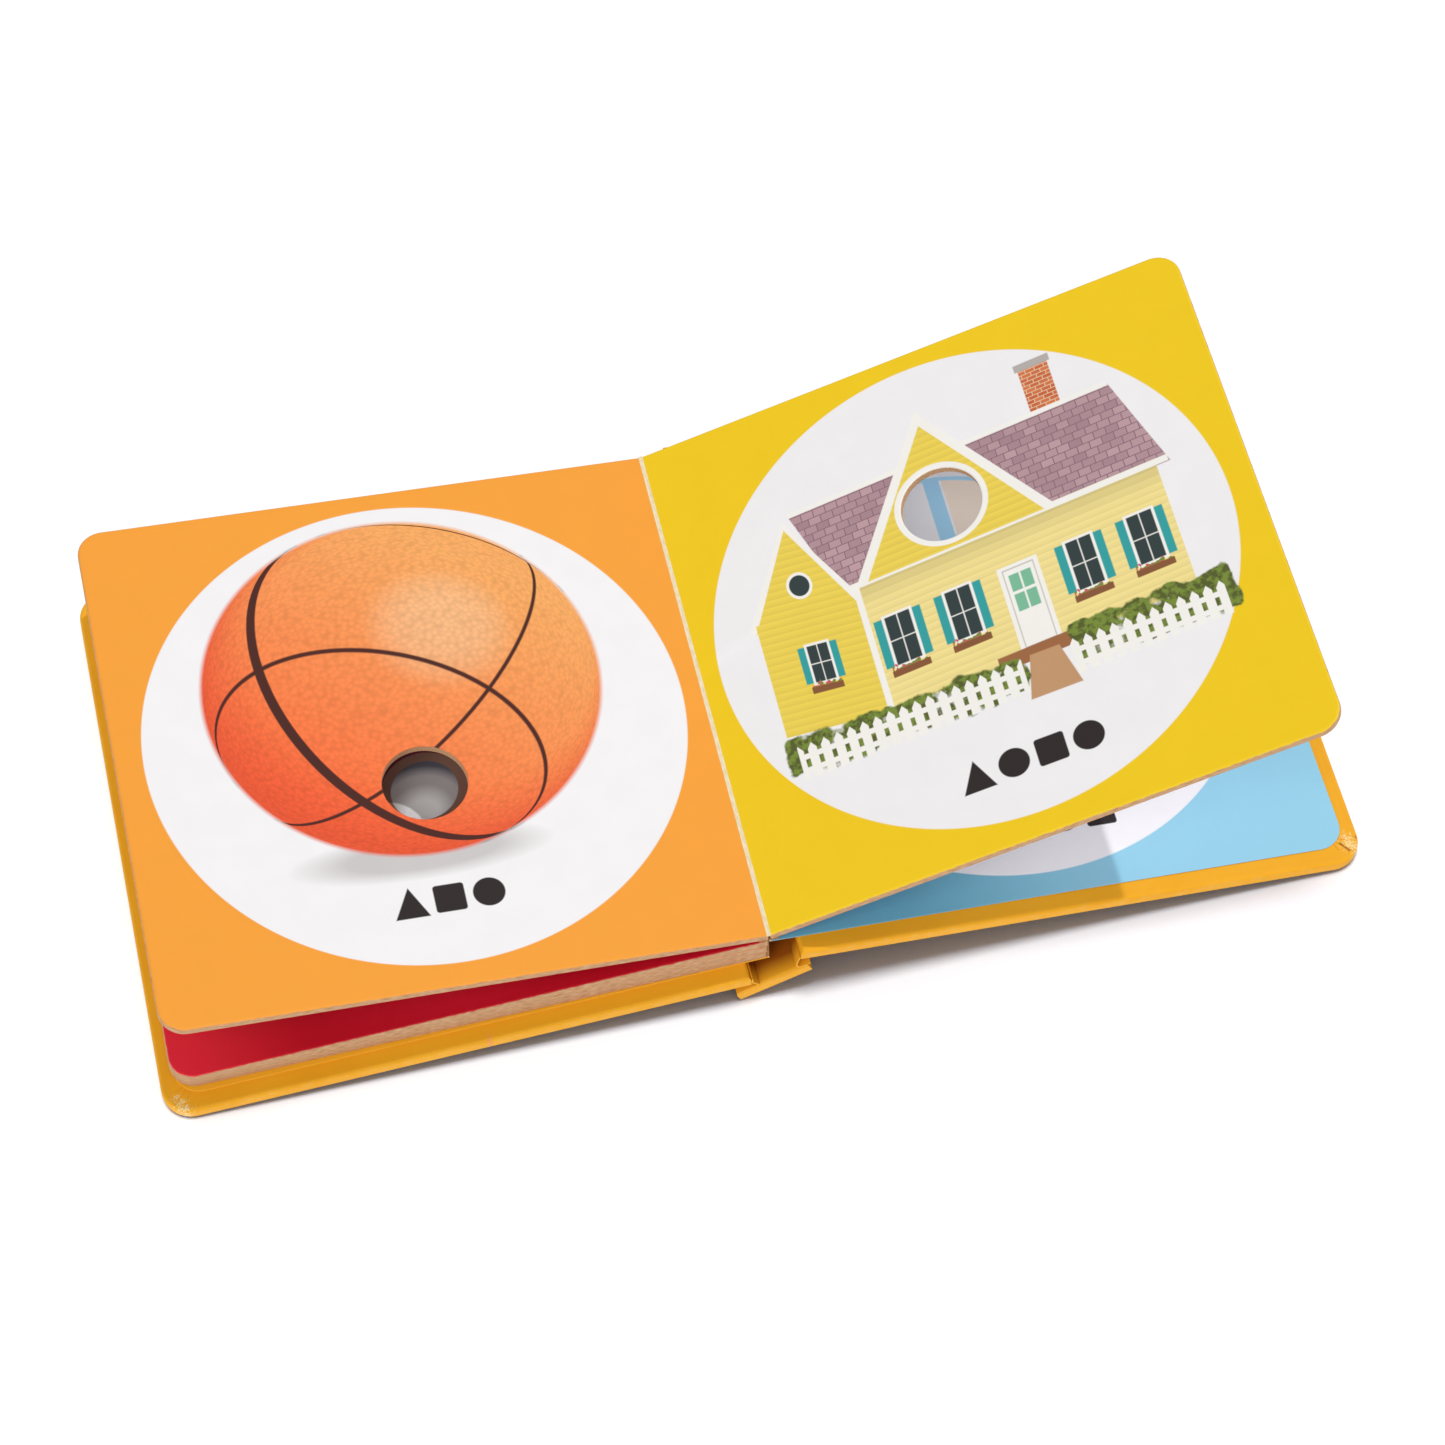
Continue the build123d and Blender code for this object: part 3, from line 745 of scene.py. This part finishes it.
thickness = book["leafThickness"]
paste = book["pasteThickness"]
plainInks = {"underBall": "#8fbf5a", "underCottage": "#8f6fb4", "inner": "#e3a877", "first": "#f7b52c",
             "underLast": "#98d2e8"}
plain = {name: plainPage(pageInk) for name, pageInk in plainInks.items()}
printEnds = {"red": 0.2, "inner": 0.1, "first": 0.3, "last": 0.2}
materials = {
    "ballLeaf": leafMaterial("ballLeafPrint", ballPage, plain["underBall"], thickness),
    "cottageLeaf": leafMaterial("cottageLeafPrint", cottagePage, plain["underCottage"], thickness),
    "redLeaf": leafMaterial("redLeafPrint", domePage, plain["inner"], thickness, printEnds["red"]),
    "innerLeaf": leafMaterial("innerLeafPrint", plain["inner"], plain["inner"], thickness,
                              printEnds["inner"]),
    "firstPage": leafMaterial("firstPagePrint", plain["first"], plain["first"], paste, printEnds["first"]),
    "lastPage": leafMaterial("lastPagePrint", stripesPage, plain["underLast"], paste, printEnds["last"]),
    "cover": coverMaterial("goldenCoverPaper"),
    "spine": coverMaterial("spineStripPaper", hollow=True),
    **{kind: fibreMaterial(*stock) for kind, stock in fibreStock.items()},
}
print("materials made")

# Leaves
leafForm = {"rim": 0.7, "closedRim": 0.32, "pasteRim": 0.18, "holeRim": 0.35, "flatLine": 0.15,
            "nearCorner": 0.05, "edgePoints": 40, "cornerPoints": 17, "rimPoints": 7, "sharpFrom": 40}


# Outline with rounded corners: straight runs and quarter circles in one array. Its near edge stays at the
# crease while the other three draw in
def leafOutline(inset, width):
    near = book["creaseGap"]
    far, low, high = width - inset, inset, 2 * pageHalf - inset
    outer, inner = book["pageCorner"] - inset, leafForm["nearCorner"]
    centres = [(far - outer, low + outer, outer, -90), (far - outer, high - outer, outer, 0),
               (near + inner, high - inner, inner, 90), (near + inner, low + inner, inner, 180)]
    corners = []
    for x, y, radius, start in centres:
        turn = np.radians(start + np.linspace(0, 90, leafForm["cornerPoints"]))
        corners.append(np.stack([x + radius * np.cos(turn), y + radius * np.sin(turn)], -1))
    outline = []
    for corner, following in zip(corners, corners[1:] + corners[:1]):
        share = np.linspace(0, 1, leafForm["edgePoints"] + 1)[1:-1, None]
        outline += [corner, corner[-1] * (1 - share) + following[0] * share]
    return np.concatenate(outline)


# Quarter-circle rims: inset = r * (1 - sin t) and depth = r * (1 - cos t), and the same below, with one
# more line on each flat face so that its shading stays flat
def rimProfile(rim, depth):
    turn = np.linspace(0, pi / 2, leafForm["rimPoints"])
    insets = np.concatenate([[rim + leafForm["flatLine"]], rim * (1 - np.sin(turn))])
    depths = np.concatenate([[0], rim * (1 - np.cos(turn))])
    return np.concatenate([insets, insets[::-1]]), np.concatenate([depths, depth - depths[::-1]])


# Board leaf: its outline carried down the rim profile, and closed at the hole or at the middle of both faces
def boardLeaf(name, plane, material, body, top, depth, rim, hole=None, turn=0.0, width=book["pageWidth"]):
    insets, depths = rimProfile(rim, depth)
    outer = np.stack([leafOutline(inset, width) for inset in insets])
    around = np.cumsum(np.linalg.norm(np.diff(outer[0], axis=0, prepend=outer[0][:1]), axis=-1))
    middle = np.array(hole or (width / 2, pageHalf))
    if hole:
        away = outer[0] - middle
        ray = away / np.linalg.norm(away, axis=-1, keepdims=True)
        holeInsets, holeDepths = rimProfile(leafForm["holeRim"], depth)
        inner = middle + (book["holeRadius"] + holeInsets)[::-1, None, None] * ray
        places = np.concatenate([inner, outer])
        depths = np.concatenate([holeDepths[::-1], depths])
    else:
        pole = np.broadcast_to(middle, (1, *outer.shape[1:]))
        places = np.concatenate([pole, outer, pole])
        depths = np.concatenate([[0], depths, [depth]])
    deep = np.broadcast_to(depths[:, None], places.shape[:2])
    x, y = places[..., 0], places[..., 1] - pageHalf
    a = radians(turn)
    reach = np.maximum(x * cos(a) + y * sin(a), book["creaseGap"])
    points = onPlane(plane, reach, y * cos(a) - x * sin(a), top - deep)
    layers = {"page": places / (book["pageWidth"], 2 * pageHalf),
              "rim": np.stack([np.broadcast_to(around, places.shape[:2]), deep], -1)}
    leaf = gridObject(name, points, hole is not None, True, layers)
    leaf.data.materials.append(materials[material])
    leaf.data.shade_smooth()
    leaf.data.set_sharp_from_angle(angle=radians(leafForm["sharpFrom"]))
    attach(leaf, body)
    return leaf


# Prism: a cross-section (x, z) carried straight along the crease
def prism(name, section, half, material, body=None):
    ring = np.array([[x, 0.0, z] for x, z in section])
    middle = np.broadcast_to(ring.mean(0), ring.shape)
    points = np.stack([middle, ring, ring, middle])
    points[:2, :, 1], points[2:, :, 1] = -half, half
    piece = gridObject(name, points, False, True, {})
    piece.data.materials.append(materials[material])
    if body:
        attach(piece, body)
    return piece


pagePieces = {"left_pages": [], "right_pages": []}
for number, turn in enumerate(book["closedLeafTurns"]):
    top = paste + book["leafAir"] + number * book["leafStep"] + thickness
    last = number == len(book["closedLeafTurns"]) - 1
    pagePieces["left_pages"].append(
        boardLeaf(f"closedLeaf{number + 1}", frontInner, "redLeaf" if last else "innerLeaf", "front", top,
                  thickness, leafForm["rim" if last else "closedRim"], turn=turn))
pagePieces["left_pages"] += [
    boardLeaf("firstPage", frontInner, "firstPage", "front", paste, paste, leafForm["pasteRim"]),
    boardLeaf("ballLeaf", leftLeaf, "ballLeaf", "front", 0.0, thickness, leafForm["rim"], leftHole),
]
pagePieces["right_pages"] += [
    boardLeaf("lastPage", backInner, "lastPage", "back", paste, paste, leafForm["pasteRim"],
              width=book["pageWidth"] + book["backShift"]),
    boardLeaf("cottageLeaf", rightLeaf, "cottageLeaf", "back", 0.0, thickness, leafForm["rim"], rightHole),
]


# Gutter board: the glued strip under the fold of each half, from the cover up into the lifted leaf
gutter = {"into": 0.3, "short": 0.25}


def gutterSection(side, cover, leaf):
    near, far = book["creaseGap"], book["gutterJoint"]
    along, normal = leaf["along"], leaf["normal"]
    under = leaf["origin"] - thickness * normal
    corners = []
    for reach in (near, far):
        foot = cover["origin"][2] + reach * cover["along"][2]
        head = under[2] + (reach - side * under[0]) / abs(along[0]) * along[2] + gutter["into"]
        corners.append((side * reach, foot, head))
    (x0, foot0, head0), (x1, foot1, head1) = corners
    return [(x0, foot0), (x1, foot1), (x1, head1), (x0, head0)]


gutterHalf = pageHalf - gutter["short"]
pagePieces["left_pages"].append(prism("leftGutterBoard", gutterSection(leftSide, frontInner, leftLeaf),
                                      gutterHalf, "gutterBoard", "front"))
pagePieces["right_pages"].append(prism("rightGutterBoard", gutterSection(rightSide, backInner, rightLeaf),
                                       gutterHalf, "gutterBoard", "back"))
for node, pieces in pagePieces.items():
    for piece in pieces:
        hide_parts(node)

# Fold: the paper that bridges the crease, a shallow arc from one leaf to the other
fold = {"half": 0.55, "lift": 0.02, "arch": 0.08, "depth": 0.22, "points": 9}
share = np.linspace(-1, 1, fold["points"])
slope = np.where(share < 0, np.tan(radians(book["frontLeafAngle"])), np.tan(radians(book["backLeafAngle"])))
foldX = share * fold["half"]
foldTop = creaseHeight + np.abs(foldX) * slope + fold["lift"] + fold["arch"] * (1 - share ** 2)
foldSection = [*zip(foldX, foldTop), (foldX[-1], foldTop[-1] - fold["depth"]),
               (0, creaseHeight - fold["depth"]), (foldX[0], foldTop[0] - fold["depth"])]
foldPiece = prism("pageFold", foldSection, pageHalf, "foldPaper")
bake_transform(foldPiece)
print("leaves made")

# Groove paper of the front cover: its own shape, cut into level bands. It runs between the cover, to whose
# edge its top is glued, and the spine strip
groove = {"node": "front_groove", "bands": 24, "glued": 0.8}
source = frame["nodes"][groove["node"]]
groovePaper = bpy.data.objects.new("frontGroovePaper", source.data.copy())
bpy.context.scene.collection.objects.link(groovePaper)
groovePaper.data.transform(source.matrix_world)
lowest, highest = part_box(groove["node"])
bands = bmesh.new()
bands.from_mesh(groovePaper.data)
for height in np.linspace(lowest.z, highest.z, groove["bands"] + 1)[1:-1]:
    bmesh.ops.bisect_plane(bands, geom=[*bands.verts, *bands.edges, *bands.faces], plane_co=(0, 0, height),
                           plane_no=(0, 0, 1))
bands.to_mesh(groovePaper.data)
bands.free()
groovePaper.data.materials.clear()
groovePaper.data.materials.append(materials["spine"])
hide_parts(groove["node"])
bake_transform(groovePaper)
print("groove paper made")

# The covers, the spine strip and the other groove paper keep their own shapes
finishes = {"board": "greyboard", "groove": "spine", "spine_wrap": "spine"}
for name, node in frame["nodes"].items():
    if name in pagePieces or name == groove["node"]:
        continue
    kind = next((kinds for part, kinds in finishes.items() if part in name), "cover")
    node.data.materials.clear()
    node.data.materials.append(materials[kind])
print("covers finished")

# Floor and light: a high window light from the right and a broad soft one from the front for the book, one
# from straight above for the floor alone, and an even fill for both. The floor's colour is painted darker and
# cooler where the book stands close over it, as painted contact shade. Each lamp has its strength, the way to
# it and its angle
stage = {"floorHalf": 4000.0, "floorWhite": "#f1f3f7", "contactShadeInk": "#69a0f0", "contact": 38.0,
         "contactShare": 0.6, "fill": 0.336}
lamps = {
    "key": {"strength": 1.40, "way": (1.0, 0.35, 1.0), "angle": 1.2, "floor": "EXCLUDE"},
    "soft": {"strength": 1.49, "way": (-0.4, -0.6, 0.7), "angle": 50.0, "floor": "EXCLUDE"},
    "above": {"strength": 2.65, "way": (0.0, 0.05, 1.0), "angle": 20.0, "floor": "INCLUDE"},
}
side = stage["floorHalf"] * mm
floorMesh = bpy.data.meshes.new("floor")
floorMesh.from_pydata([(-side, -side, 0), (side, -side, 0), (side, side, 0), (-side, side, 0)], [],
                      [(0, 1, 2, 3)])
floor = bpy.data.objects.new("floor", floorMesh)
bpy.context.scene.collection.objects.link(floor)
material, tree = newMaterial("whiteTableTop")
# Painted contact shade: the floor's colour darkens and cools where the book stands close over it
unshaded = addNode(tree, "AmbientOcclusion", {"Distance": stage["contact"] * mm}, out=1, samples=8)
unshaded = addNode(tree, "MapRange", {0: unshaded, 2: stage["contactShare"]})
white = blend(tree, unshaded, ink(stage["contactShadeInk"]), ink(stage["floorWhite"]))
addNode(tree, "OutputMaterial", {0: addNode(tree, "BsdfDiffuse", {"Color": white})})
floor.data.materials.append(material)

world = bpy.data.worlds.new("studio")
bpy.context.scene.world = world
world.use_nodes = True
tree = world.node_tree
tree.nodes.clear()
path = tree.nodes.new("ShaderNodeLightPath").outputs
seen = maths(tree, "MAXIMUM", path["Is Camera Ray"], path["Is Glossy Ray"])
seen = maths(tree, "MAXIMUM", seen, path["Is Transmission Ray"])
level = addNode(tree, "MapRange", {0: seen, 3: stage["fill"], 4: 1.0})
shader = addNode(tree, "Background", {"Color": ink("#ffffff"), "Strength": level})
addNode(tree, "OutputWorld", {0: shader})

for name, values in lamps.items():
    lamp = bpy.data.lights.new(name, "SUN")
    lamp.energy = values["strength"]
    lamp.angle = radians(values["angle"])
    sun = bpy.data.objects.new(name, lamp)
    sun.rotation_euler = Vector(values["way"]).to_track_quat("Z", "Y").to_euler()
    bpy.context.scene.collection.objects.link(sun)
    receivers = bpy.data.collections.new(name + "Receivers")
    receivers.objects.link(floor)
    receivers.collection_objects[0].light_linking.link_state = values["floor"]
    sun.light_linking.receiver_collection = receivers
print("light set")

# Camera, as solved from the book's own edges: its place, its turns in degrees and its lens
view = {"place": (-96.8, -545.78, 897.26), "heading": -10.56, "tilt": 31.83, "roll": -2.79,
        "lens": 98.9, "sensor": 36.0}
lens = bpy.data.cameras.new("camera")
lens.lens = view["lens"]
lens.sensor_width = view["sensor"]
camera = bpy.data.objects.new("camera", lens)
camera.matrix_world = (Matrix.Translation(Vector(view["place"]) * mm)
                       @ Matrix.Rotation(radians(view["heading"]), 4, "Z")
                       @ Matrix.Rotation(radians(view["tilt"]), 4, "X")
                       @ Matrix.Rotation(radians(view["roll"]), 4, "Z"))
bpy.context.scene.collection.objects.link(camera)
bpy.context.scene.camera = camera
bpy.context.scene.view_settings.view_transform = "Standard"
